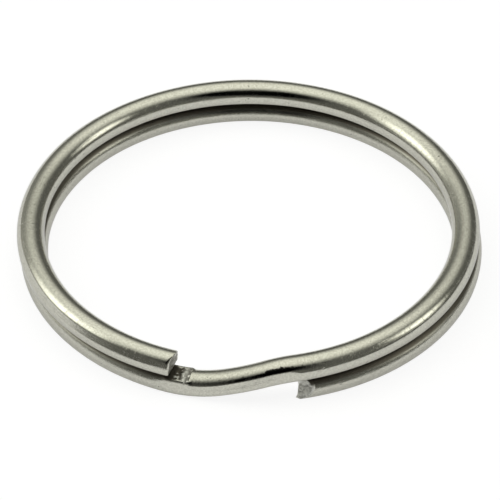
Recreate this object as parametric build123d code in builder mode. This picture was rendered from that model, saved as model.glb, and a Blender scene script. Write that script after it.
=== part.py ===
from build123d import *
import os
from math import degrees, radians

# A split ring: one length of springy steel wire, pressed flat on its underside and coiled
# nearly twice round, so that its two turns lie on each other. The wire climbs from the lower
# turn to the upper one over a short crossover, and its two sheared ends stop on either side of
# the crossover, where a key is started between the turns.
#
# Millimetres and degrees. The ring lies flat: the lower turn's pressed flat is on z = 0, +Z is
# up through the eye, and the origin is in the middle of the ring's outline. Angles are measured
# about +Z from +X, and the crossover is on the -Y side.

# The ring
outer_diameter = 30.0  # across one turn
turn_gap = 0.24  # air between the two turns, at the middle of the ring
turn_shift = 0.18  # how far the upper turn sits to the -X side of the lower one
turn_lean = 0.29  # the upper turn's tilt, which lifts its +X side

# The wire's section: a round with one side pressed flat
wire_diameter = 1.8
pressed_depth = 0.58  # how much of the round the flat takes away

# The crossover, with its lengths measured along the wire
crossover_angle = -93.1  # where its middle is
climb_run = 5.4  # length of the climb, from corner to corner
foot_bend = 1.85  # half the length of the gentle bend at its foot
crest_bend = 1.0  # half the length of the sharper bend at its crest
crossover_spans = 12  # spans between the sections that shape it

# The two sheared ends, placed along the wire from the corners of the climb
upper_end_run = 1.32  # from the foot corner back to the upper end
upper_end_lean = 3.0  # how far the upper end's crown is left longer than its flat
lower_end_run = 1.05  # from the crest corner on to the lower end
lower_end_skew = 14.0  # how far the lower end's outer side is left longer than its inner side
lower_bevel_start = 0.59  # from the round's centre out to the bevel on the lower end
lower_bevel_slope = 63.0  # how far the bevel falls back from the end
lower_bevel_facing = 22.0  # which way round the wire it faces, up from outwards

# The nick that the shears left in the crown of the wire, beside the upper end
nick_length = 1.5
nick_reach = 1.0  # how much of it shows past the upper end
nick_depth = 0.17
nick_slope = 6.5  # its fall towards the outside of the ring

# Sizes that follow
wire_height = wire_diameter - pressed_depth
round_centre = wire_height - wire_diameter / 2  # the height of the round's centre over the flat
wire_circle_radius = (outer_diameter - wire_diameter) / 2
turn_rise = wire_height + turn_gap
shear_stock = wire_diameter  # spare wire at each end, for the shears to take off
tool_size = 3 * wire_diameter  # wide enough to cut right through the wire


def round_the_ring(run):
    """The angle round the ring that a run along the wire takes up."""
    return degrees(run / wire_circle_radius)


foot_angle = crossover_angle - round_the_ring(climb_run / 2)
crest_angle = crossover_angle + round_the_ring(climb_run / 2)
crossover_start = foot_angle - round_the_ring(foot_bend)
crossover_end = crest_angle + round_the_ring(crest_bend)
upper_end_angle = foot_angle - round_the_ring(upper_end_run)
lower_end_angle = crest_angle + round_the_ring(lower_end_run)
nick_angle = upper_end_angle + round_the_ring(nick_reach - nick_length / 2)
stock_angle = round_the_ring(shear_stock)


def rounded_corner(run, half_bend):
    """The height of a line that is level up to 0 and then climbs one for one, with a parabola
    in place of its corner for half_bend on each side."""
    if run <= -half_bend:
        return 0
    if run >= half_bend:
        return run
    return (run + half_bend) ** 2 / (4 * half_bend)


def share_climbed(angle):
    """The share of the way from the lower turn up to the upper one, at an angle."""
    run = radians(angle - foot_angle) * wire_circle_radius
    climb = rounded_corner(run, foot_bend) - rounded_corner(run - climb_run, crest_bend)
    return climb / climb_run


def flat_plane(share):
    """The plane of the wire's flat: the lower turn's at a share of 0, the upper turn's at 1."""
    middle = (turn_shift * (0.5 - share), 0, turn_rise * share)
    return Plane(Location(middle, (0, -turn_lean * share, 0)))


def section_plane(angle, share):
    """The plane across the wire, with its origin on the flat, x outwards, y up, z clockwise."""
    spoke = flat_plane(share).moved(Rotation(0, 0, angle))
    return spoke.moved(Location((wire_circle_radius, 0, 0), (90, 0, 0)))


def wire_section(angle, share):
    """The wire's section: the round, less what is pressed away below the flat."""
    with BuildSketch(section_plane(angle, share)) as section:
        with Locations((0, round_centre)):
            Circle(wire_diameter / 2)
        Rectangle(tool_size, tool_size, align=(Align.CENTER, Align.MAX), mode=Mode.SUBTRACT)
    return section.sketch


def carry_round(share, start_angle, end_angle):
    """Carry the wire's section round one turn, from an angle on to another."""
    turn = flat_plane(share)
    revolve(
        wire_section(start_angle, share),
        axis=Axis(turn.origin, turn.z_dir),
        revolution_arc=end_angle - start_angle,
    )


def shear(blade_plane, side):
    """Shear the wire off along a plane. Side says which side of it the stock falls from."""
    with Locations(blade_plane):
        Box(
            tool_size,
            tool_size,
            tool_size,
            align=(Align.CENTER, Align.CENTER, side),
            mode=Mode.SUBTRACT,
        )


# The lower turn, from its free end round to the foot of the crossover. The end is sheared once
# across the wire, and again over the bevel on its outer shoulder.
lower_end = section_plane(lower_end_angle, 0)
lower_shoulder = lower_end.moved(Location((0, round_centre, 0), (0, 0, lower_bevel_facing)))
with BuildPart() as lower_turn:
    carry_round(0, lower_end_angle - stock_angle, crossover_start + 360)
    shear(lower_end.moved(Rotation(0, -lower_end_skew, 0)), Align.MIN)
    shear(
        lower_shoulder.moved(Location((lower_bevel_start, 0, 0), (0, lower_bevel_slope, 0))),
        Align.MIN,
    )

# The crossover, shaped through sections that climb from the lower turn to the upper one
span_angle = (crossover_end - crossover_start) / crossover_spans
section_angles = [crossover_start + span_angle * span for span in range(crossover_spans + 1)]
with BuildPart() as crossover:
    loft([wire_section(angle, share_climbed(angle)) for angle in section_angles])

# The upper turn, from the crest of the crossover round to its free end
upper_end = section_plane(upper_end_angle, 1)
with BuildPart() as upper_turn:
    carry_round(1, crossover_end, upper_end_angle + 360 + stock_angle)
    shear(upper_end.moved(Rotation(-upper_end_lean, 0, 0)), Align.MAX)

# The whole ring. The nick is cut before the upper turn goes on, because its end overhangs it.
with BuildPart() as split_ring:
    add(lower_turn.part)
    add(crossover.part)
    with Locations(section_plane(nick_angle, share_climbed(nick_angle))):
        with Locations(Location((0, wire_height - nick_depth, 0), (0, 0, -nick_slope))):
            Box(
                tool_size,
                tool_size,
                nick_length,
                align=(Align.CENTER, Align.MIN, Align.CENTER),
                mode=Mode.SUBTRACT,
            )
    add(upper_turn.part)

split_ring.part.label = "split_ring"
os.makedirs("parts", exist_ok=True)
export_step(split_ring.part, "parts/split_ring.step")
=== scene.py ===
"""The looks of a split ring: one length of nickel-plated spring wire, pressed flat on
its underside and coiled nearly twice round, with a short crossover, two sheared ends
and the nick between them.

Lengths are in metres and angles in degrees unless a name says otherwise. The axes are
the frame's: the ring lies on z = 0 with +z up through its eye, and its crossover is on
the -y side. Angles round the ring are measured about +z from +x. A "run" is a length
along the wire. A section of the wire has its own two axes: across, outwards from the
ring's middle, and up, from the pressed flat. The way that a point of the section faces
is an angle too: 0 is outwards and 90 is up.
"""

import logging
import math
from dataclasses import dataclass
from enum import Enum

import bpy
import numpy as np
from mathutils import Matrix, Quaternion, Vector


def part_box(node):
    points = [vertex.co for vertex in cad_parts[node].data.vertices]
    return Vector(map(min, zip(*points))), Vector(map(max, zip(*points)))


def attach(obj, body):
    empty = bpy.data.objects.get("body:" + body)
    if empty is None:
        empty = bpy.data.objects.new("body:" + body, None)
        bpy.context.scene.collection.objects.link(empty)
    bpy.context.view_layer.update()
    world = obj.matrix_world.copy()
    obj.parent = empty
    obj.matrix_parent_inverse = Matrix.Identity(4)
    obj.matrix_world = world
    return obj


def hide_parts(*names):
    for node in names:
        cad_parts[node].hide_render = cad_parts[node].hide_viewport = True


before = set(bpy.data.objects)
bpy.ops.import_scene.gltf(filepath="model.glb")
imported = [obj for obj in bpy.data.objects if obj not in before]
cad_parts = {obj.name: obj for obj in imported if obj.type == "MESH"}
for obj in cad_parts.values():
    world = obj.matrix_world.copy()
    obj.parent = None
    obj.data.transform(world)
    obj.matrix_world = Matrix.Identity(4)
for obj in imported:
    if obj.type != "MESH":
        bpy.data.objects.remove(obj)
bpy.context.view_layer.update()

log = logging.getLogger("split_ring")

MM = 0.001
Colour = tuple[float, float, float, float]
Span = tuple[float, float]


def smooth_step(low: float, high: float, value: np.ndarray) -> np.ndarray:
    """A ramp from 0 at low to 1 at high, level at both: 3t^2 - 2t^3 of the share t.

    Args:
        low: the value at which the ramp starts.
        high: the value at which it is complete; it may be the smaller of the two.
        value: where the ramp is wanted.

    Returns:
        The ramp's height, the same shape as value.
    """
    share = np.clip((value - low) / (high - low), 0.0, 1.0)
    return share * share * (3.0 - 2.0 * share)


def hump(centre: float, reach: float, value: np.ndarray) -> np.ndarray:
    """A bell, 1 at centre and 1/e a reach away: exp(-((value - centre) / reach)^2)."""
    return np.exp(-(((value - centre) / reach) ** 2))


def ring_faces(rings: int, around: int) -> np.ndarray:
    """The quads between the rings of a grid, each ring closed on itself.

    A quad joins a point to the same point of the next ring, and both to their
    neighbours, where the last point's neighbour is the first.

    Args:
        rings: how many rings.
        around: how many points each has.

    Returns:
        The corners' numbers, four to a row.
    """
    first = np.arange(rings - 1)[:, None] * around + np.arange(around)[None, :]
    step = (np.arange(around) + 1) % around - np.arange(around)
    corners = [first, first + around, first + step + around, first + step]
    return np.stack(corners, axis=-1).reshape(-1, 4)


def add_object(
    name: str, points: np.ndarray, faces: list[list[int]]
) -> bpy.types.Object:
    """Makes an object at the origin from points and faces, and puts it in the scene.

    Args:
        name: the object's name and its mesh's.
        points: places with x, y and z along the last axis.
        faces: the numbers of each face's corners.

    Returns:
        The object.
    """
    mesh = bpy.data.meshes.new(name)
    mesh.from_pydata(points.reshape(-1, 3).tolist(), [], faces)
    mesh.update()
    made = bpy.data.objects.new(name, mesh)
    bpy.context.scene.collection.objects.link(made)
    return made


class Torn:
    """Relief of torn metal: sets of sharp folds that cross and leave flat facets."""

    FOLDS = 4
    PITCH_SPREAD: Span = (0.6, 1.6)  # shortest and longest fold, in pitches
    SWAY_SPREAD: Span = (0.15, 0.35)  # how far the folds sway, in folds
    SWAY_RATE = 2.4  # radians of sway for each fold's length along them
    SWAY_START = 6.0  # radians over which the sets' sways start

    def __init__(self, seed: int, pitch: float) -> None:
        """Draws the sets of folds.

        Args:
            seed: fixes the draw, so that every run gives the same relief.
            pitch: the mean length of a fold.
        """
        draw = np.random.default_rng(seed)
        spread = draw.uniform(0.0, 1.0, self.FOLDS)
        heading = (np.arange(self.FOLDS) + spread) * math.pi / self.FOLDS
        number = 1.0 / (pitch * draw.uniform(*self.PITCH_SPREAD, self.FOLDS))
        self.first = number * np.cos(heading)
        self.second = number * np.sin(heading)
        self.phase = draw.uniform(0.0, 1.0, self.FOLDS)
        self.sway = draw.uniform(*self.SWAY_SPREAD, self.FOLDS)

    def height(self, first: np.ndarray, second: np.ndarray) -> np.ndarray:
        """The relief at places on the face: the mean of the sets' triangle waves.

        A set's wave is |2 frac(t) - 1|, with t the folds passed on the way to the
        place. It is bent by a slow sine of the distance along its folds.

        Args:
            first: one coordinate on the face.
            second: the other coordinate, the same shape.

        Returns:
            Heights between -0.5 and 0.5.
        """
        along = second[..., None] * self.first - first[..., None] * self.second
        bend = np.sin(self.SWAY_RATE * along + self.SWAY_START * self.phase)
        turn = (
            first[..., None] * self.first
            + second[..., None] * self.second
            + self.sway * bend
            + self.phase
        )
        return np.abs(2.0 * (turn - np.floor(turn)) - 1.0).mean(axis=-1) - 0.5


@dataclass(frozen=True)
class Coil:
    """The wire's path: a lower turn, a crossover that climbs, and an upper turn.

    The sizes are the part's own. An angle here is unwound: it grows along the wire from
    the lower end, past 360 on to the upper end, and the crossover is reached after the
    first turn.
    """

    outer_diameter: float
    wire_diameter: float = 1.8 * MM
    pressed_depth: float = 0.58 * MM
    turn_gap: float = 0.24 * MM
    turn_shift: float = 0.18 * MM
    turn_lean: float = 0.29
    crossover_angle: float = -93.1
    climb_run: float = 5.4 * MM
    foot_bend: float = 1.85 * MM
    crest_bend: float = 1.0 * MM
    upper_end_run: float = 1.32 * MM
    lower_end_run: float = 1.05 * MM

    @property
    def round_radius(self) -> float:
        """Radius of the wire's round."""
        return self.wire_diameter / 2.0

    @property
    def wire_height(self) -> float:
        """Height of the wire from its flat to its crown."""
        return self.wire_diameter - self.pressed_depth

    @property
    def round_centre(self) -> float:
        """Height of the round's centre over the flat."""
        return self.wire_height - self.round_radius

    @property
    def wire_circle_radius(self) -> float:
        """Radius of the circle that the wire's middle follows."""
        return (self.outer_diameter - self.wire_diameter) / 2.0

    @property
    def turn_rise(self) -> float:
        """Height of the upper turn's flat over the lower turn's."""
        return self.wire_height + self.turn_gap

    @property
    def climb_angle(self) -> float:
        """Unwound angle of the middle of the climb."""
        return 360.0 + self.crossover_angle

    @property
    def foot_angle(self) -> float:
        """Where the climb starts."""
        return self.climb_angle - self.round_the_ring(self.climb_run / 2.0)

    @property
    def crest_angle(self) -> float:
        """Where the climb stops."""
        return self.climb_angle + self.round_the_ring(self.climb_run / 2.0)

    @property
    def lower_end(self) -> float:
        """Where the wire starts."""
        return self.crest_angle - 360.0 + self.round_the_ring(self.lower_end_run)

    @property
    def upper_end(self) -> float:
        """Where the wire stops, nearly two turns on."""
        return self.foot_angle + 360.0 - self.round_the_ring(self.upper_end_run)

    def round_the_ring(self, run: float) -> float:
        """The angle round the ring that a run along the wire takes up."""
        return math.degrees(run / self.wire_circle_radius)

    def run_at(self, angle: float | np.ndarray) -> float | np.ndarray:
        """The run from the wire's start to an unwound angle."""
        return np.radians(angle - self.lower_end) * self.wire_circle_radius

    def share_climbed(self, angle: np.ndarray) -> np.ndarray:
        """How much of the climb is behind a place on the wire, from 0 to 1.

        The climb is a straight line between its two corners. Each corner is a parabola,
        (run + bend)^2 / (4 bend), for a bend's length on each side of it.

        Args:
            angle: unwound angles.

        Returns:
            The share at each of them.
        """

        def corner(run: np.ndarray, bend: float) -> np.ndarray:
            """A line's rise past a corner at run 0 that is rounded by the parabola."""
            rounded = (run + bend) ** 2 / (4.0 * bend)
            return np.where(run < bend, np.where(run > -bend, rounded, 0.0), run)

        run = np.radians(angle - self.foot_angle) * self.wire_circle_radius
        past_foot = corner(run, self.foot_bend)
        past_crest = corner(run - self.climb_run, self.crest_bend)
        return (past_foot - past_crest) / self.climb_run

    def place(
        self, angle: np.ndarray, across: np.ndarray, up: np.ndarray
    ) -> np.ndarray:
        """Carries points of the wire's section to their places in the ring.

        A point stands at the wire circle's radius plus across, at height up over the
        flat, turned about z by the angle. It is then leaned about y, shifted along x
        and raised, each in step with the share of the climb.

        Args:
            angle: unwound angles.
            across: distances outwards from the wire's middle.
            up: heights over the wire's flat.

        Returns:
            Places with x, y and z along the last axis.
        """
        share = self.share_climbed(angle)
        turn = np.radians(angle)
        radius = self.wire_circle_radius + across
        east = radius * np.cos(turn)
        lean = np.radians(self.turn_lean) * share
        shift = self.turn_shift * (0.5 - share)
        x = east * np.cos(lean) - up * np.sin(lean) + shift
        y = radius * np.sin(turn)
        z = east * np.sin(lean) + up * np.cos(lean) + self.turn_rise * share
        return np.stack(np.broadcast_arrays(x, y, z), axis=-1)


@dataclass(frozen=True)
class Section:
    """The wire's section: a round pressed flat underneath, with two softened edges."""

    coil: Coil
    edge_radius: float = 0.09 * MM
    round_points: int = 54
    edge_points: int = 4
    flat_points: int = 8

    @property
    def inner_radius(self) -> float:
        """Radius of the round less the edge radius."""
        return self.coil.round_radius - self.edge_radius

    @property
    def edge_facing(self) -> float:
        """Where the round hands over to the softened edge, facing below outwards."""
        rise = self.edge_radius - self.coil.round_centre
        return math.degrees(math.asin(rise / self.inner_radius))

    def facing(self) -> np.ndarray:
        """The ways that the outline's points face.

        They run from the middle of the flat's outer half, round the outer edge, over
        the crown and down the inner edge. The flat's own points all face down.

        Returns:
            One angle for each point, from -90 to 270.
        """
        edge = self.edge_facing
        outer = np.linspace(-90.0, edge, self.edge_points, endpoint=False)
        crown = np.linspace(edge, 180.0 - edge, self.round_points)
        inner = np.linspace(270.0, 180.0 - edge, self.edge_points, endpoint=False)
        flat = np.full(self.flat_points, 270.0)
        return np.concatenate([outer, crown, inner[::-1], flat])

    def outline(self) -> tuple[np.ndarray, np.ndarray]:
        """The outline: a round less the edge radius, cut flat, then grown by it.

        A point is the inner radius out along its way, held to the round, plus the edge
        radius out along its way. The flat's points are evenly spread at height 0.

        Returns:
            The points' distances across and up.
        """
        facing = self.facing()
        edge = self.edge_facing
        on_round = np.radians(np.clip(facing, edge, 180.0 - edge))
        turn = np.radians(facing)
        across = self.inner_radius * np.cos(on_round) + self.edge_radius * np.cos(turn)
        up = (
            self.coil.round_centre
            + self.inner_radius * np.sin(on_round)
            + self.edge_radius * np.sin(turn)
        )
        half_flat = self.inner_radius * math.cos(math.radians(edge))
        steps = np.arange(1, self.flat_points + 1) / (self.flat_points + 1.0)
        across[-self.flat_points :] = half_flat * (2.0 * steps - 1.0)
        up[-self.flat_points :] = 0.0
        return across, up


@dataclass(frozen=True)
class ShearedEnd:
    """One cut end of the wire: a leaning cut, bevelled where the blade came in."""

    lean: float  # how far the crown is left longer than the flat
    skew: float  # how far the outer side is left longer than the inner side
    bevel_facing: float  # the way that the bevel is cut down
    bevel_slope: float  # the bevel's fall
    bevel_start: float  # how far from the round's centre it starts
    rolled_edge: float  # how far the blade rolled the rim over
    rolled_outer: float  # the same on the outer side
    tear: float  # height of the torn relief
    tear_pitch: float
    seed: int
    burr: float  # how far the burr stands past the cut
    burr_across: float  # where its middle is across
    burr_up: float  # and up
    burr_width: float  # how far it spreads across
    burr_height: float  # and up
    grime_and_shade: float  # how much painted shade and dark reflection the torn face has, from 0 to 1
    corner: float = 0.05 * MM  # rounds the corner between the cut and the bevel
    rolled_span: Span = (-0.2, 0.9)  # half widths across, from edge to outer radius

    def overhang(
        self, across: np.ndarray, up: np.ndarray, round_centre: float
    ) -> np.ndarray:
        """How far the cut face stands past the wire's end, along the wire.

        The cut is a plane that leans with the height and skews with the distance
        across, plus the torn relief. The bevel is a second plane, through the square
        end at its start. The lower of the two stands: cut - (over + sqrt(over^2 +
        corner^2)) / 2, with over the height of the cut over the bevel, which rounds
        the corner between them. A bell is added for the burr.

        Args:
            across: distances outwards from the wire's middle.
            up: heights over the flat.
            round_centre: the height of the round's centre over the flat.

        Returns:
            Runs, positive where the wire is longer.
        """
        turn = math.radians(self.bevel_facing)
        distance = across * math.cos(turn) + (up - round_centre) * math.sin(turn)
        burr = (
            self.burr
            * hump(self.burr_across, self.burr_width, across)
            * hump(self.burr_up, self.burr_height, up)
        )
        cut = (
            up * math.tan(math.radians(self.lean))
            + across * math.tan(math.radians(self.skew))
            + self.tear * Torn(self.seed, self.tear_pitch).height(across, up)
        )
        fall = math.tan(math.radians(self.bevel_slope))
        over = cut - (self.bevel_start - distance) * fall
        return cut - 0.5 * (over + np.sqrt(over**2 + self.corner**2)) + burr

    def rim_radius(self, across: np.ndarray, half_width: float) -> np.ndarray:
        """The rim's rolled radius, which grows from the inner side to the outer.

        Args:
            across: distances outwards from the wire's middle.
            half_width: half the wire's width.

        Returns:
            A radius for each point.
        """
        share = smooth_step(*self.rolled_span, across / half_width)
        return self.rolled_edge + (self.rolled_outer - self.rolled_edge) * share


@dataclass(frozen=True)
class Nick:
    """The bite that the shears took from the crown beside the upper end."""

    length: float = 1.5 * MM
    reach: float = 1.0 * MM  # how much of it shows past the upper end
    depth: float = 0.17 * MM
    slope: float = 6.5  # its fall towards the outside
    wall: float = 0.05 * MM  # run of its end walls
    tear: float = 0.15 * MM
    tear_pitch: float = 0.5 * MM
    smeared_tear: float = 0.25  # share of the tear where the blade smeared the floor
    torn_span: Span = (-0.3 * MM, 0.1 * MM)  # runs past its middle, smeared to torn
    lip: float = 0.1 * MM  # metal pushed up along its inner side
    lip_facing: float = 127.0
    outer_lip: float = 0.055 * MM  # the same along its outer side
    outer_lip_facing: float = 45.0
    lip_width: float = 9.0
    lip_full: float = 0.1 * MM  # how far inside its ends the lips are at full height
    lip_past: float = 0.25 * MM  # how far past its ends they fade out
    bare_depth: float = 0.03 * MM  # how deep a cut leaves no plate
    grime_and_shade: float = 0.97  # how dark the painted shade on its floor is, from 0 to 1
    shade_lifted: float = 0.7  # how much less painted shade is left past its middle
    shade_lifted_span: Span = (0.08 * MM, 0.33 * MM)  # runs past its middle
    wall_shade: float = 0.45  # how much more painted shade there is at its far wall
    wall_shade_span: Span = (0.42 * MM, 0.6 * MM)  # runs past its middle
    seed: int = 21

    def middle(self, coil: Coil) -> float:
        """The unwound angle of its middle, on the foot of the crossover."""
        past_end = self.reach - self.length / 2.0
        return coil.upper_end - 360.0 + coil.round_the_ring(past_end)

    def marks(self, cut: np.ndarray, past: np.ndarray) -> tuple[np.ndarray, np.ndarray]:
        """Where the nick has bared the steel, and where shade is painted in it.

        Args:
            cut: how deep the nick cuts each point.
            past: each ring's run past the nick's middle.

        Returns:
            How bare each point is, and how much painted shade it has, from 0 to 1.
        """
        bare = smooth_step(0.0, self.bare_depth, cut)
        shade_lifted = self.shade_lifted * smooth_step(*self.shade_lifted_span, past)
        wall_shade = self.wall_shade * smooth_step(*self.wall_shade_span, past)
        return bare, bare * (self.grime_and_shade - shade_lifted + wall_shade)


@dataclass(frozen=True)
class RubbedFlat:
    """A long shallow flat rubbed on the outer shoulder of the wire."""

    angle: float = 264.0  # unwound angle of its middle
    half_length: float = 4.9 * MM
    fade: float = 1.2 * MM  # run over which each end of it fades out
    facing: float = 16.0
    half_width: float = 18.0  # half the angle of the round that it takes up
    sway: float = 3.0  # how far its facing strays
    sway_run: float = 1.3 * MM  # run in which the sway turns by a radian

    def rub(
        self, coil: Coil, run: np.ndarray, wide: np.ndarray, tall: np.ndarray
    ) -> tuple[np.ndarray, np.ndarray]:
        """Brings what stands beyond the flat's chord down to it.

        A point stands by its distance from the round's centre along the flat's facing,
        and the chord by the round's radius times the cosine of the half width.

        Args:
            coil: the wire.
            run: each ring's run from the wire's start.
            wide: distances across.
            tall: heights over the wire's flat.

        Returns:
            The new distances across and up.
        """
        past = run - coil.run_at(self.angle)
        full = self.half_length - self.fade
        window = smooth_step(self.half_length, full, np.abs(past))
        turn = np.radians(self.facing + self.sway * np.sin(past / self.sway_run))
        chord = coil.round_radius * math.cos(math.radians(self.half_width))
        stands = wide * np.cos(turn) + (tall - coil.round_centre) * np.sin(turn)
        cut = np.maximum(stands - chord, 0.0) * window
        return wide - cut * np.cos(turn), tall - cut * np.sin(turn)


class Ending(Enum):
    """The two ends of the wire, by the way along it that they face."""

    LOWER = -1
    UPPER = 1


@dataclass
class SplitRing:
    """The ring's wire as one closed skin, from one cut face's pole to the other's."""

    coil: Coil
    section: Section
    nick: Nick
    rubbed_flats: tuple[RubbedFlat, ...]
    lower: ShearedEnd
    upper: ShearedEnd
    plain_step: float = 0.24 * MM
    bend_step: float = 0.12 * MM
    fine_step: float = 0.028 * MM
    nick_span: Span = (1.4 * MM, 0.9 * MM)  # from the nick: rings grow fine over it
    end_span: Span = (1.0 * MM, 0.5 * MM)  # the same from an end
    climb_span: Span = (5.5 * MM, 4.5 * MM)  # from the climb: bend rings are added
    samples: int = 40000  # places along the wire at which their density is summed
    waves: tuple[tuple[float, float, float], ...] = (
        (0.004, 4.1 * MM, 0.8),
        (0.003, 1.7 * MM, 0.0),
    )  # of the wire's thickness: height as a share, run to a radian, start in radians
    face_rings: int = 16
    rim_fullness: float = 0.8  # how much of a quarter round the rims are drawn in by
    end_reach: float = 2.0 * MM  # run over which the rings turn into the cut's plane
    bare_rim: Span = (0.14 * MM, 0.04 * MM)  # from the lower end: plated to bare
    slot_span: Span = (58.0, 44.0)  # from the crown or the flat: clean to rougher, with painted shade
    covered_fade: float = 0.1 * MM  # either side of where the upper turn stops
    uncovered_fade: float = 0.3 * MM  # either side of where the lower turn starts
    smear_angle: float = 277.0  # unwound angle of the middle of the black smear, partly a painted reflection of the dark round the camera
    smear_length: float = 6.0  # how far it spreads along the ring
    smear_facing: float = 48.0
    smear_width: float = 12.0  # how far it spreads round the section

    def stations(self) -> np.ndarray:
        """Unwound angles of the skin's rings, closest at the ends, nick and bends.

        The rings' density is summed along the wire, and a ring is set at every whole
        number.

        Returns:
            Rising angles, the first and last at the wire's two ends.
        """
        coil = self.coil
        angle = np.linspace(coil.lower_end, coil.upper_end, self.samples)
        run = coil.run_at(angle)
        from_nick = np.abs(run - coil.run_at(self.nick.middle(coil)))
        from_end = np.minimum(run, run[-1] - run)
        from_climb = np.abs(run - coil.run_at(coil.climb_angle))
        fine = smooth_step(*self.nick_span, from_nick) + smooth_step(
            *self.end_span, from_end
        )
        density = (
            1.0 / self.plain_step
            + smooth_step(*self.climb_span, from_climb) / self.bend_step
            + np.minimum(fine, 1.0) / self.fine_step
        )
        passed = np.cumsum(0.5 * (density[1:] + density[:-1]) * np.diff(run))
        count = np.concatenate([[0.0], passed])
        rings = int(round(count[-1]))
        return np.interp(np.linspace(0.0, count[-1], rings + 1), count, angle)

    def hand_drawn(self, run: np.ndarray) -> np.ndarray:
        """How the wire's thickness strays along it: 1 plus a few slow sine waves.

        Args:
            run: each ring's run from the wire's start.

        Returns:
            The thickness of each ring as a share of the plain one.
        """
        thick = np.ones_like(run)
        for height, radian, start in self.waves:
            thick = thick + height * np.sin(run / radian + start)
        return thick

    def skin(self) -> tuple[np.ndarray, np.ndarray, np.ndarray]:
        """Places of the wire's sides and of its two cut faces, as grids.

        The section is carried along the coil, thickened, rubbed and bitten, and drawn
        in at its rims. Near an end its rings turn into the plane of the cut.

        Returns:
            The sides' grid with rings first, then the lower face's and the upper face's
            grids with rings from the rim inwards.
        """
        coil = self.coil
        across, up = self.section.outline()
        angle = self.stations()[:, None]
        run = coil.run_at(angle)
        left = run[-1, 0] - run
        thick = self.hand_drawn(run)
        wide = across[None, :] * thick
        tall = up[None, :] * thick
        for flat in self.rubbed_flats:
            wide, tall = flat.rub(coil, run, wide, tall)
        wide, tall, _ = self.cut_nick(run, wide, tall)
        wide, tall = self.roll_rim(self.lower, run, wide, tall)
        wide, tall = self.roll_rim(self.upper, left, wide, tall)
        push = self.upper.overhang(wide, tall, coil.round_centre) * smooth_step(
            self.end_reach, 0.0, left
        ) - self.lower.overhang(wide, tall, coil.round_centre) * smooth_step(
            self.end_reach, 0.0, run
        )
        stretched = angle + np.degrees(push / (coil.wire_circle_radius + wide))
        sides = coil.place(stretched, wide, tall)
        lower = self.face(Ending.LOWER, wide[0], tall[0])
        upper = self.face(Ending.UPPER, wide[-1], tall[-1])
        return sides, lower, upper

    def roll_rim(
        self,
        end: ShearedEnd,
        from_end: np.ndarray,
        wide: np.ndarray,
        tall: np.ndarray,
    ) -> tuple[np.ndarray, np.ndarray]:
        """Draws the skin in towards a cut face, as a quarter round of the rim's radius.

        A point's inset is radius (1 - sqrt(1 - t^2)), with t the share of the radius
        by which it is nearer to the end than the round's start.

        Args:
            end: the cut end.
            from_end: each ring's run from that end.
            wide: distances across.
            tall: heights over the flat.

        Returns:
            The drawn-in distances across and up.
        """
        radius = end.rim_radius(wide, self.coil.round_radius)
        nearer = np.clip(1.0 - from_end / radius, 0.0, 1.0)
        inset = radius * (1.0 - np.sqrt(1.0 - nearer * nearer)) * self.rim_fullness
        turn = np.radians(self.section.facing())[None, :]
        return wide - inset * np.cos(turn), tall - inset * np.sin(turn)

    def cut_nick(
        self, run: np.ndarray, wide: np.ndarray, tall: np.ndarray
    ) -> tuple[np.ndarray, np.ndarray, np.ndarray]:
        """Bites the nick out of the crown and pushes its lips up.

        What stands over the nick's sloping floor is brought down to it, with the
        floor's torn relief. Bells round the section, as long as the nick, raise the
        two lips.

        Args:
            run: each ring's run from the wire's start.
            wide: distances across.
            tall: heights over the flat.

        Returns:
            The new distances across and up, and how deep each point was cut.
        """
        nick = self.nick
        past = run - self.coil.run_at(nick.middle(self.coil))
        apart = np.abs(past)
        half = nick.length / 2.0
        window = smooth_step(half + nick.wall / 2.0, half - nick.wall / 2.0, apart)
        places = np.broadcast_arrays(past, wide)
        relief = Torn(nick.seed, nick.tear_pitch).height(*places)
        torn = smooth_step(*nick.torn_span, past)
        floor = (
            self.coil.wire_height
            - nick.depth
            - wide * math.tan(math.radians(nick.slope))
            + nick.tear
            * relief
            * (nick.smeared_tear + (1.0 - nick.smeared_tear) * torn)
        )
        cut = np.maximum(tall - floor, 0.0) * window
        facing = self.section.facing()[None, :]
        lift = smooth_step(half + nick.lip_past, half - nick.lip_full, apart) * (
            nick.lip * hump(nick.lip_facing, nick.lip_width, facing)
            + nick.outer_lip * hump(nick.outer_lip_facing, nick.lip_width, facing)
        )
        turn = np.radians(facing)
        return wide + lift * np.cos(turn), tall - cut + lift * np.sin(turn), cut

    def face(
        self, ending: Ending, rim_across: np.ndarray, rim_up: np.ndarray
    ) -> np.ndarray:
        """A cut face: the rim drawn towards the wire's middle in even steps.

        Args:
            ending: which end of the wire.
            rim_across: the rim's distances across.
            rim_up: the rim's heights.

        Returns:
            A grid of places, the last row being the pole.
        """
        end = self.upper if ending is Ending.UPPER else self.lower
        at = self.coil.upper_end if ending is Ending.UPPER else self.coil.lower_end
        share = np.linspace(1.0, 0.0, self.face_rings + 1)[1:, None]
        middle = self.coil.wire_height / 2.0
        across = rim_across[None, :] * share
        up = middle + (rim_up[None, :] - middle) * share
        push = ending.value * end.overhang(across, up, self.coil.round_centre)
        angle = at + np.degrees(push / (self.coil.wire_circle_radius + across))
        return self.coil.place(angle, across, up)

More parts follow.
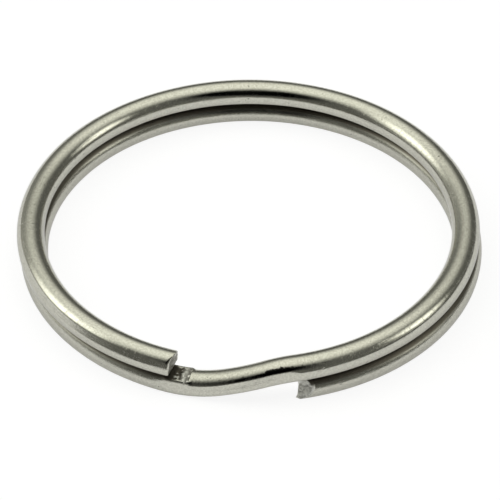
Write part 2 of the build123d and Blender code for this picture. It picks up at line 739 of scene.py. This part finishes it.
    def build(self) -> bpy.types.Object:
        """Makes the ring's mesh: quads along the wire, and a fan at each pole.

        Returns:
            The finished object, at the origin.
        """
        sides, lower, upper = self.skin()
        grid = np.concatenate([lower[-2::-1], sides, upper[:-1]])
        poles = np.stack([lower[-1, 0], upper[-1, 0]])
        rows, around = grid.shape[:2]
        quads = ring_faces(rows, around)
        first = np.arange(around)
        after = (first + 1) % around
        last_row = (rows - 1) * around
        pole = np.full(around, rows * around)
        start = np.stack([pole, first, after], axis=-1)
        finish = np.stack([pole + 1, last_row + after, last_row + first], axis=-1)
        wire = add_object(
            "split_ring_wire",
            np.concatenate([grid.reshape(-1, 3), poles]),
            quads.tolist() + start.tolist() + finish.tolist(),
        )
        wire.data.shade_smooth()
        self.map_wire(wire.data, rows, around)
        self.mark_wire(wire.data, rows, around)
        log.info(
            "%s: %d rings of %d points, %d triangles",
            wire.name,
            len(sides),
            around,
            2 * len(quads) + 2 * around,
        )
        return wire

    def map_wire(self, mesh: bpy.types.Mesh, rows: int, around: int) -> None:
        """Gives the mesh its own map, "wire": along the wire and round it.

        The first coordinate is the share of the wire's length and the second the share
        of the way round the section. A ring's last face closes at 1 and not at 0.

        Args:
            mesh: the ring's mesh.
            rows: rings in the whole grid, those of the cut faces among them.
            around: points in a ring.
        """
        angle = self.stations()
        share = (angle - angle[0]) / (angle[-1] - angle[0])
        face_rows = self.face_rings - 1
        along = np.concatenate([np.zeros(face_rows), share, np.ones(face_rows)])
        loops = np.zeros(len(mesh.loops), dtype=np.int32)
        mesh.loops.foreach_get("vertex_index", loops)
        pole = loops >= rows * around
        row = np.minimum(loops // around, rows - 1)
        u = np.where(pole, (loops - rows * around).clip(0), along[row])
        v = (loops % around) / around
        quad_loops = 4 * (rows - 1) * around
        quad_v = v[:quad_loops].reshape(-1, 4)
        wraps = (quad_v.max(axis=1) - quad_v.min(axis=1)) > 0.5
        quad_v[wraps] = np.where(quad_v[wraps] < 0.5, 1.0, quad_v[wraps])
        v[:quad_loops] = quad_v.reshape(-1)
        layer = mesh.uv_layers.new(name="wire")
        places = np.stack([u, v], axis=-1).astype(np.float32)
        layer.data.foreach_set("uv", places.ravel())

    def mark_wire(self, mesh: bpy.types.Mesh, rows: int, around: int) -> None:
        """Marks each point of the mesh, from 0 to 1, for the finish to read.

        "sheared" is bare torn steel, "grimy" is painted shade in the nick and a painted
        dark reflection on the upper end's face, "smeared" is the black smear, partly a
        painted reflection of the dark round the camera, a bell along the wire times a
        bell round the section, and "between_turns" is the slot, where shade is painted.

        Args:
            mesh: the ring's mesh.
            rows: rings in the whole grid, those of the cut faces among them.
            around: points in a ring.
        """
        angle = self.stations()[:, None]
        run = self.coil.run_at(angle)
        across, up = self.section.outline()
        _, _, cut = self.cut_nick(run, across[None, :], up[None, :])
        past = run - self.coil.run_at(self.nick.middle(self.coil))
        bare, grime_and_shade = self.nick.marks(cut, past)
        rim = smooth_step(*self.bare_rim, run)
        smear = hump(self.smear_angle, self.smear_length, angle) * hump(
            self.smear_facing, self.smear_width, self.section.facing()
        )
        marks = {
            "sheared": (1.0, np.maximum(bare, rim), 1.0),
            "painted_shade": (self.lower.grime_and_shade, grime_and_shade, self.upper.grime_and_shade),
            "smeared": (0.0, smear, 0.0),
            "between_turns": (0.0, self.between_turns(run), 0.0),
        }
        face_rows = self.face_rings - 1
        for name, (on_lower, on_sides, on_upper) in marks.items():
            whole = np.full((rows, around), on_lower)
            whole[face_rows : rows - face_rows] = on_sides
            whole[rows - face_rows :] = on_upper
            values = np.append(whole.ravel(), [on_lower, on_upper])
            mark = mesh.attributes.new(name, "FLOAT", "POINT")
            mark.data.foreach_set("value", values.astype(np.float32))

    def between_turns(self, run: np.ndarray) -> np.ndarray:
        """How far each point of the sides lies in the slot between the turns, where
        shade is painted.

        It is a ramp round the section, centred on the crown for the lower turn and on
        the flat for the upper turn, times a ramp along the wire that leaves the
        crossover out.

        Args:
            run: each ring's run from the wire's start.

        Returns:
            A grid of marks from 0 to 1, rings first.
        """
        facing = self.section.facing()[None, :]
        from_flat = np.abs((facing - 90.0) % 360.0 - 180.0)
        crown = smooth_step(*self.slot_span, np.abs(facing - 90.0))
        flat = smooth_step(*self.slot_span, from_flat)
        covered = run - self.coil.run_at(self.coil.upper_end - 360.0)
        uncovered = run - self.coil.run_at(self.coil.lower_end + 360.0)
        lower = smooth_step(self.covered_fade, -self.covered_fade, covered)
        upper = smooth_step(-self.uncovered_fade, self.uncovered_fade, uncovered)
        return crown * lower + flat * upper


class Value:
    """A number on a shader socket. Arithmetic on it adds Math nodes to the graph."""

    def __init__(self, graph: "Graph", socket: bpy.types.NodeSocket) -> None:
        """Wraps a socket of a graph."""
        self.graph = graph
        self.socket = socket

    def calculate(self, operation: str, *others: "Value | float") -> "Value":
        """One Math node on this number and others.

        Args:
            operation: the Math node's own name for it.
            others: the further numbers, wrapped or plain.

        Returns:
            The result, wrapped.
        """
        return self.graph.arithmetic(operation, self, *others)

    def __add__(self, other: "Value | float") -> "Value":
        """self + other."""
        return self.calculate("ADD", other)

    __radd__ = __add__

    def __mul__(self, other: "Value | float") -> "Value":
        """self * other."""
        return self.calculate("MULTIPLY", other)

    __rmul__ = __mul__

    def __sub__(self, other: "Value | float") -> "Value":
        """self - other."""
        return self.calculate("SUBTRACT", other)

    def __rsub__(self, other: float) -> "Value":
        """other - self."""
        return self.graph.arithmetic("SUBTRACT", other, self)

    def ramp(self, low: float, high: float) -> "Value":
        """A smooth ramp from 0 at low to 1 at high."""
        node = self.graph.node(
            "ShaderNodeMapRange",
            {"interpolation_type": "SMOOTHSTEP"},
            {"Value": self, "From Min": low, "From Max": high},
        )
        return Value(self.graph, node.outputs["Result"])


@dataclass(frozen=True)
class Speckle:
    """A noise: how fine it is, how broken up, and the span over which it ramps up."""

    scale: float
    detail: float = 2.0
    rough: float = 0.5
    span: Span | None = None  # None leaves the noise as it is


class Graph:
    """The nodes of one material or world."""

    SOFT_EDGE = 0.3  # where a pit or a line is full, as a share of where it fades out

    def __init__(self, tree: bpy.types.NodeTree) -> None:
        """Empties a node tree and takes it over."""
        self.tree = tree
        tree.nodes.clear()

    def node(
        self,
        kind: str,
        settings: dict[str, object] | None = None,
        sockets: dict[str | int, object] | None = None,
    ) -> bpy.types.Node:
        """Adds any node.

        Args:
            kind: the node's type.
            settings: its own settings, which are set first.
            sockets: values or links for its inputs, by name or number.

        Returns:
            The node.
        """
        made = self.tree.nodes.new(kind)
        for name, setting in (settings or {}).items():
            setattr(made, name, setting)
        for name, given in (sockets or {}).items():
            source = given.socket if isinstance(given, Value) else given
            if isinstance(source, bpy.types.NodeSocket):
                self.tree.links.new(source, made.inputs[name])
            else:
                made.inputs[name].default_value = source
        return made

    def arithmetic(self, operation: str, *numbers: Value | float) -> Value:
        """Adds a Math node.

        Args:
            operation: the node's own name for what it does.
            numbers: its inputs in order, wrapped or plain.

        Returns:
            Its result, wrapped.
        """
        sockets = dict(enumerate(numbers))
        made = self.node("ShaderNodeMath", {"operation": operation}, sockets)
        return Value(self, made.outputs[0])

    def vector(
        self, operation: str, *vectors: object, output: str = "Vector"
    ) -> bpy.types.NodeSocket:
        """Adds a Vector Math node.

        Args:
            operation: the node's own name for what it does.
            vectors: its inputs in order, sockets or plain triples.
            output: which of its outputs is wanted.

        Returns:
            That output.
        """
        sockets = dict(enumerate(vectors))
        made = self.node("ShaderNodeVectorMath", {"operation": operation}, sockets)
        return made.outputs[output]

    def attribute(self, name: str) -> Value:
        """Reads one of the mesh's own marks."""
        made = self.node("ShaderNodeAttribute", {"attribute_name": name})
        return Value(self, made.outputs["Fac"])

    def mix(
        self, share: Value | float, first: object, second: object
    ) -> bpy.types.NodeSocket:
        """Adds a Mix node for colours.

        Args:
            share: how much of the second colour there is, from 0 to 1.
            first: the colour at share 0.
            second: the colour at share 1.

        Returns:
            The mixed colour.
        """
        colours = {0: share, 6: first, 7: second}
        return self.node("ShaderNodeMix", {"data_type": "RGBA"}, colours).outputs[2]

    def noise(self, place: object, speckle: Speckle) -> Value:
        """A noise at a place.

        Args:
            place: where the noise lies.
            speckle: the noise's kind.

        Returns:
            Its value from 0 to 1, ramped over its span if it has one.
        """
        sockets = {
            "Vector": place,
            "Scale": speckle.scale,
            "Detail": speckle.detail,
            "Roughness": speckle.rough,
        }
        plain = Value(self, self.node("ShaderNodeTexNoise", None, sockets).outputs[0])
        return plain.ramp(*speckle.span) if speckle.span else plain

    def pits(self, place: object, scale: float, radius: float, rare: float) -> Value:
        """Small round pits, one in each of the cells that a random draw keeps.

        Args:
            place: where the pits lie.
            scale: cells to a unit of length.
            radius: a pit's radius, in cells.
            rare: the share of cells that are left without one.

        Returns:
            1 in the middle of a pit, falling to 0 at its radius.
        """
        cells = self.node(
            "ShaderNodeTexVoronoi", None, {"Vector": place, "Scale": scale}
        )
        apart = Value(self, cells.outputs["Distance"])
        draw = self.node("ShaderNodeSeparateColor", None, {0: cells.outputs["Color"]})
        kept = Value(self, draw.outputs[0]).calculate("GREATER_THAN", rare)
        return apart.ramp(radius, self.SOFT_EDGE * radius) * kept

    def ray(self, kind: str) -> Value:
        """1 for a ray of the kind that the Light Path node names, 0 for another."""
        return Value(self, self.node("ShaderNodeLightPath").outputs[kind])

    def seen_plainly(self) -> Value:
        """Tells rays that see a surface plainly from rays of scattered light.

        Returns:
            1 for a ray from the camera, a mirror or a glass, and 0 for another.
        """
        camera, mirror = self.ray("Is Camera Ray"), self.ray("Is Glossy Ray")
        plain = camera.calculate("MAXIMUM", mirror)
        return plain.calculate("MAXIMUM", self.ray("Is Transmission Ray"))


def new_material(name: str) -> tuple[bpy.types.Material, Graph]:
    """Makes an empty material.

    Args:
        name: the material's name.

    Returns:
        The material and the graph of its nodes.
    """
    made = bpy.data.materials.new(name)
    made.use_nodes = True
    return made, Graph(made.node_tree)


@dataclass(frozen=True)
class Scratches:
    """Thin lines drawn out one way, where a noise passes its middle value."""

    along: float  # the noise's scale along the wire
    around: float  # its scale round the wire
    width: float  # how near the middle value still counts as the line
    weight: float  # how deep and dark the lines are, from 0 to 1
    lines: Speckle = Speckle(1.0)
    middle: float = 0.5
    kept: Speckle = Speckle(0.37, 1.0, span=(0.52, 0.62))  # where the lines are left

    def value(self, graph: Graph, place: object) -> Value:
        """The lines as nodes.

        Args:
            graph: the material's nodes.
            place: the map in millimetres.

        Returns:
            The weight on a line and 0 off it.
        """
        drawn = graph.vector("MULTIPLY", place, (self.along, self.around, 0.0))
        off = (graph.noise(drawn, self.lines) - self.middle).calculate("ABSOLUTE")
        line = off.ramp(self.width, graph.SOFT_EDGE * self.width)
        return line * graph.noise(drawn, self.kept) * self.weight


@dataclass(frozen=True)
class NickelPlate:
    """Nickel plate on drawn wire: warm grey, finely grained, scratched and pitted.

    The scales of the noises are to a millimetre.
    """

    plate: Colour = (0.555, 0.55, 0.488, 1.0)
    dull_plate: Colour = (0.4, 0.39, 0.345, 1.0)
    # grime in the pits, and painted shade in the nick and on the upper end's face
    grime_and_shade: Colour = (0.1, 0.09, 0.07, 1.0)
    bare_steel: Colour = (0.95, 0.95, 0.9, 1.0)
    torn_steel: Colour = (0.55, 0.545, 0.51, 1.0)
    # painted shade in the slot between the turns
    painted_slot_shade: Colour = (0.12, 0.11, 0.09, 1.0)
    # the black smear, partly a painted reflection of the dark round the camera
    smear_and_dark_reflection: Colour = (0.03, 0.03, 0.027, 1.0)
    edge_tint: Colour = (0.85, 0.85, 0.85, 1.0)  # what it keeps at a grazing angle
    roughness: float = 0.1
    satin: float = 0.06  # roughness added in the matt patches
    rubbed: float = 0.09  # roughness added on the lower turn
    sheared_roughness: float = 0.5
    slot_roughness: float = 0.2  # roughness added between the turns
    length: float = 169.0  # of the wire in mm, for the map's first coordinate
    girth: float = 5.2  # round the section in mm, for its second coordinate
    first_turn: float = 0.48  # the share of the length at which the lower turn ends
    turn_fade: float = 0.01  # the share on each side of it over which its look fades
    grain_depth: float = 0.0035  # these depths are in mm
    scratch_depth: float = 0.002
    pit_depth: float = 0.012
    tear_depth: float = 0.022
    rubbed_grain: float = 1.3  # how much deeper the grain is on the lower turn
    mottled: float = 0.5  # the share of dull plate in the mottle's spots
    scratched: float = 0.25  # the same on a scratch
    pitted: float = 0.6  # the share of grime in a pit
    speckled: float = 0.9  # the share of painted shade that the bright specks push aside
    patches: Speckle = Speckle(0.35, span=(0.42, 0.62))
    grain: Speckle = Speckle(8.0, 3.0, 0.7)
    mottle: Speckle = Speckle(9.0, 2.0, 0.6, (0.38, 0.62))
    torn: Speckle = Speckle(5.0, 4.0, 0.7)
    facets: Speckle = Speckle(3.5, 3.0, 0.65, (0.4, 0.6))
    specks: Speckle = Speckle(4.5, span=(0.56, 0.62))
    flecks: Speckle = Speckle(3.5, 3.0, 0.75)
    fleck_weight: float = 3.0  # weight of the flecks against the smear's own bell
    smear_span: Span = (1.95, 2.15)  # smear and flecks together: clean to black
    long_marks: Scratches = Scratches(0.5, 14.0, 0.025, 0.5)
    cross_marks: Scratches = Scratches(9.0, 0.8, 0.03, 0.7)
    pit_cells: float = 1.5
    pit_radius: float = 0.12  # in cells
    pit_rarity: float = 0.78

    def material(self) -> bpy.types.Material:
        """Makes the finish.

        The wire's own map is stretched to millimetres, and carries the scratches, the
        matt patches and the smear's flecks. The object's coordinates, in millimetres,
        carry the grain, the mottle, the pits and the torn metal. Heights in millimetres
        are summed into one bump. The colours are laid over each other in order: plate
        with dull mottle and scratches, grime in the pits, torn steel, painted shade in
        the nick and a painted dark reflection on the upper end's face, painted shade in
        the slot between the turns, and the black smear, partly a painted reflection of
        the dark round the camera. At a grazing angle the metal keeps the edge tint.

        Returns:
            The material.
        """
        made, graph = new_material("nickel_plated_wire")
        mapped = graph.node("ShaderNodeUVMap", {"uv_map": "wire"}).outputs["UV"]
        place = graph.vector("MULTIPLY", mapped, (self.length, self.girth, 0.0))
        metres = graph.node("ShaderNodeTexCoord").outputs["Object"]
        solid = graph.vector("DIVIDE", metres, (MM, MM, MM))
        split = graph.node("ShaderNodeSeparateXYZ", None, {0: mapped})
        lower_turn = Value(graph, split.outputs[0]).ramp(
            self.first_turn + self.turn_fade, self.first_turn - self.turn_fade
        )
        sheared = graph.attribute("sheared")
        # the slot between the turns: rougher, and painted with shade
        hidden = graph.attribute("between_turns")
        scratches = self.long_marks.value(graph, place).calculate(
            "MAXIMUM", self.cross_marks.value(graph, place)
        )
        pits = graph.pits(solid, self.pit_cells, self.pit_radius, self.pit_rarity)
        facets = graph.noise(solid, self.facets)
        relief = graph.noise(solid, self.torn) + facets
        grain = graph.noise(solid, self.grain) * self.grain_depth
        height = (
            grain * (1.0 + self.rubbed_grain * lower_turn)
            - scratches * self.scratch_depth
            - pits * self.pit_depth
            + sheared * relief * self.tear_depth
        )
        bump = graph.node(
            "ShaderNodeBump", None, {"Strength": 1.0, "Distance": MM, "Height": height}
        )
        roughness = (
            self.roughness
            + graph.noise(place, self.patches) * self.satin
            + lower_turn * self.rubbed
            + sheared * (self.sheared_roughness - self.roughness)
            + hidden * self.slot_roughness
        )
        dull = graph.noise(solid, self.mottle) * self.mottled
        dull = dull + scratches * self.scratched
        steel = graph.mix(facets, self.torn_steel, self.bare_steel)
        specks = graph.noise(solid, self.specks)
        # painted shade in the nick and a painted dark reflection on the upper end's
        # face, broken by bright specks
        shade_share = graph.attribute("painted_shade") * (1.0 - self.speckled * specks)
        # the black smear with its flecks, partly a painted reflection of the dark round
        # the camera
        flecks = graph.noise(place, self.flecks) * self.fleck_weight
        smear = (graph.attribute("smeared") + flecks).ramp(*self.smear_span)
        colour = self.plate
        for share, coat in (
            (dull, self.dull_plate),
            (pits * self.pitted, self.grime_and_shade),
            (sheared, steel),
            (shade_share, self.grime_and_shade),
            # painted shade in the slot
            (hidden, self.painted_slot_shade),
            (smear, self.smear_and_dark_reflection),
        ):
            colour = graph.mix(share, colour, coat)
        sockets = {
            "Base Color": colour,
            "Metallic": 1.0,
            "Roughness": roughness,
            "Specular Tint": self.edge_tint,
            "Normal": bump.outputs["Normal"],
        }
        surface = graph.node("ShaderNodeBsdfPrincipled", None, sockets).outputs["BSDF"]
        graph.node("ShaderNodeOutputMaterial", None, {"Surface": surface})
        return made


@dataclass(frozen=True)
class SoftLight:
    """A patch of light or shade on the tent, round, with a soft edge."""

    azimuth: float  # about +z from +x
    elevation: float
    full: float  # half the angle across its even part
    faded: float  # half the angle at which it has gone
    strength: float  # what it adds to the tent's own light

    def direction(self) -> tuple[float, float, float]:
        """The unit direction from the ring to the patch."""
        turn, rise = math.radians(self.azimuth), math.radians(self.elevation)
        return (
            math.cos(turn) * math.cos(rise),
            math.sin(turn) * math.cos(rise),
            math.sin(rise),
        )


@dataclass
class Studio:
    """A light tent over a pale table, and the camera that looks in."""

    tent_radius: float = 0.9
    tent_rings: int = 40
    tent_top: float = 89.99  # elevation of its topmost ring
    tent_cloth: Colour = (1.0, 1.005, 0.91, 1.0)
    tent_light: float = 0.16
    patches: tuple[SoftLight, ...] = (
        SoftLight(100.0, 74.0, 15.0, 57.0, 1.18),  # overhead
        SoftLight(170.0, 33.0, 3.0, 30.0, 2.2),  # left lamp
        SoftLight(155.0, 10.0, 15.0, 60.0, 0.28),  # the glow under it
        SoftLight(-4.0, 28.0, 3.0, 21.0, 2.2),  # right lamp
        SoftLight(-96.0, 43.0, 18.0, 36.0, -0.22),  # shade round the camera
    )
    table_rings: tuple[float, ...] = (1.0e-5, 0.02, 0.06, 0.2)  # radii inside the tent
    table_colour: Colour = (0.8, 0.8, 0.85, 1.0)  # as the ring sees it
    table_lift: float = 0.38
    table_colour_seen: Colour = (0.22, 0.22, 0.23, 1.0)  # as the camera sees it
    table_lift_seen: float = 0.86
    table_drop: float = 0.01 * MM
    around: int = 96  # points in a ring of the table or the tent
    camera_distance: float = 242.76 * MM
    camera_elevation: float = 40.225
    camera_roll: float = -0.076
    camera_clip: Span = (0.01, 10.0)
    sensor: float = 36.0
    lens: float = 268.3
    shift: Span = (-0.00227, -0.0051)

    def disc(
        self, name: str, radii: np.ndarray, heights: np.ndarray
    ) -> bpy.types.Object:
        """A surface of revolution: (radius cos turn, radius sin turn, height).

        Args:
            name: the object's name.
            radii: the radii of its rings.
            heights: their heights, the same length.

        Returns:
            The object.
        """
        turn = np.linspace(0.0, 2.0 * math.pi, self.around, endpoint=False)
        x = radii[:, None] * np.cos(turn)
        y = radii[:, None] * np.sin(turn)
        grid = np.stack(np.broadcast_arrays(x, y, heights[:, None]), axis=-1)
        made = add_object(name, grid, ring_faces(len(radii), self.around).tolist())
        return made

    def build_table(self) -> bpy.types.Object:
        """The pale table, lifted to white for plain sight but not as a lamp.

        Returns:
            The table.
        """
        radii = np.array([*self.table_rings, self.tent_radius])
        table = self.disc("table", radii, np.full(len(radii), -self.table_drop))
        made, graph = new_material("pale_table")
        camera = graph.ray("Is Camera Ray")
        colour = graph.mix(camera, self.table_colour, self.table_colour_seen)
        strength = graph.seen_plainly() * self.table_lift + camera * (
            self.table_lift_seen - self.table_lift
        )
        matt = graph.node("ShaderNodeBsdfDiffuse", None, {"Color": colour})
        lift = graph.node("ShaderNodeEmission", None, {"Strength": strength})
        shaders = {0: matt.outputs[0], 1: lift.outputs[0]}
        both = graph.node("ShaderNodeAddShader", None, shaders)
        graph.node("ShaderNodeOutputMaterial", None, {"Surface": both.outputs[0]})
        table.data.materials.append(made)
        return table

    def build_tent(self) -> bpy.types.Object:
        """The tent: a dome whose light is an even grey plus its soft patches.

        A patch's share of its strength is a smooth ramp of the angle between the
        direction to a place on the tent and the direction to the patch's middle.

        Returns:
            The tent, which the camera doesn't see.
        """
        rise = np.radians(np.linspace(0.0, self.tent_top, self.tent_rings))
        radii = self.tent_radius * np.cos(rise)
        tent = self.disc("light_tent", radii, self.tent_radius * np.sin(rise))
        tent.visible_camera = False
        made, graph = new_material("tent_cloth")
        coordinates = graph.node("ShaderNodeTexCoord")
        outwards = graph.vector("NORMALIZE", coordinates.outputs["Object"])
        light: Value | float = self.tent_light
        for patch in self.patches:
            nearness = graph.vector(
                "DOT_PRODUCT", outwards, patch.direction(), output="Value"
            )
            apart = Value(graph, nearness).calculate("ARCCOSINE")
            inside = apart.ramp(math.radians(patch.faded), math.radians(patch.full))
            light = inside * patch.strength + light
        strength = light.calculate("MAXIMUM", 0.0)
        glow = graph.node(
            "ShaderNodeEmission", None, {"Color": self.tent_cloth, "Strength": strength}
        )
        graph.node("ShaderNodeOutputMaterial", None, {"Surface": glow.outputs[0]})
        tent.data.materials.append(made)
        return tent

    def build_backdrop(self) -> None:
        """A white world beyond the tent, for plain sight only."""
        world = bpy.data.worlds.new("backdrop")
        world.use_nodes = True
        graph = Graph(world.node_tree)
        sockets = {"Color": (1.0, 1.0, 1.0, 1.0), "Strength": graph.seen_plainly()}
        white = graph.node("ShaderNodeBackground", None, sockets)
        graph.node("ShaderNodeOutputWorld", None, {"Surface": white.outputs[0]})
        bpy.context.scene.world = world

    def build_camera(self, coil: Coil) -> bpy.types.Object:
        """The camera, aimed at the middle of the lower turn's flat.

        Args:
            coil: the ring's wire.

        Returns:
            The camera.
        """
        aim = Vector((coil.turn_shift / 2.0, 0.0, 0.0))
        rise = math.radians(self.camera_elevation)
        back = Vector((0.0, -math.cos(rise), math.sin(rise)))
        lens = bpy.data.cameras.new("camera")
        lens.lens = self.lens
        lens.sensor_width = self.sensor
        lens.shift_x, lens.shift_y = self.shift
        lens.clip_start, lens.clip_end = self.camera_clip
        camera = bpy.data.objects.new("camera", lens)
        camera.location = aim + back * self.camera_distance
        look = (-back).to_track_quat("-Z", "Y")
        roll = Quaternion((0.0, 0.0, 1.0), math.radians(self.camera_roll))
        camera.rotation_mode = "QUATERNION"
        camera.rotation_quaternion = look @ roll
        bpy.context.scene.collection.objects.link(camera)
        bpy.context.scene.camera = camera
        return camera


def main() -> None:
    """Builds the ring and its studio."""
    logging.basicConfig(level=logging.INFO, format="%(message)s")
    low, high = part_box("split_ring")
    coil = Coil(outer_diameter=high.y - low.y)
    crossover_flat = RubbedFlat()
    upper_turn_flat = RubbedFlat(
        angle=584.0,
        half_length=11.0 * MM,
        fade=7.0 * MM,
        facing=27.0,
        half_width=15.0,
        sway=1.0,
    )
    lower_end = ShearedEnd(
        lean=0.0,
        skew=9.0,
        bevel_facing=32.0,
        bevel_slope=60.0,
        bevel_start=0.47 * MM,
        rolled_edge=0.06 * MM,
        rolled_outer=0.06 * MM,
        tear=0.18 * MM,
        tear_pitch=0.42 * MM,
        seed=4,
        burr=0.26 * MM,
        burr_across=0.8 * MM,
        burr_up=-0.1 * MM,
        burr_width=0.55 * MM,
        burr_height=0.5 * MM,
        grime_and_shade=0.0,
    )
    upper_end = ShearedEnd(
        lean=3.0,
        skew=0.0,
        bevel_facing=30.0,
        bevel_slope=30.0,
        bevel_start=0.75 * MM,
        rolled_edge=0.04 * MM,
        rolled_outer=0.16 * MM,
        tear=0.07 * MM,
        tear_pitch=0.4 * MM,
        seed=9,
        burr=0.1 * MM,
        burr_across=-0.25 * MM,
        burr_up=1.2 * MM,
        burr_width=0.45 * MM,
        burr_height=0.3 * MM,
        # painted dark reflection on the upper end's cut face
        grime_and_shade=0.6,
    )
    ring = SplitRing(
        coil=coil,
        section=Section(coil),
        nick=Nick(),
        rubbed_flats=(crossover_flat, upper_turn_flat),
        lower=lower_end,
        upper=upper_end,
    )
    wire = ring.build()
    wire.data.materials.append(NickelPlate().material())
    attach(wire, "root")
    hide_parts("split_ring")
    studio = Studio()
    for stage in (studio.build_table(), studio.build_tent()):
        log.info("%s: radius %.2f m", stage.name, studio.tent_radius)
    studio.build_backdrop()
    camera = studio.build_camera(coil)
    log.info("%s: %.0f mm lens", camera.name, camera.data.lens)
    bpy.context.scene.view_settings.view_transform = "Standard"


if __name__ == "__main__":
    main()
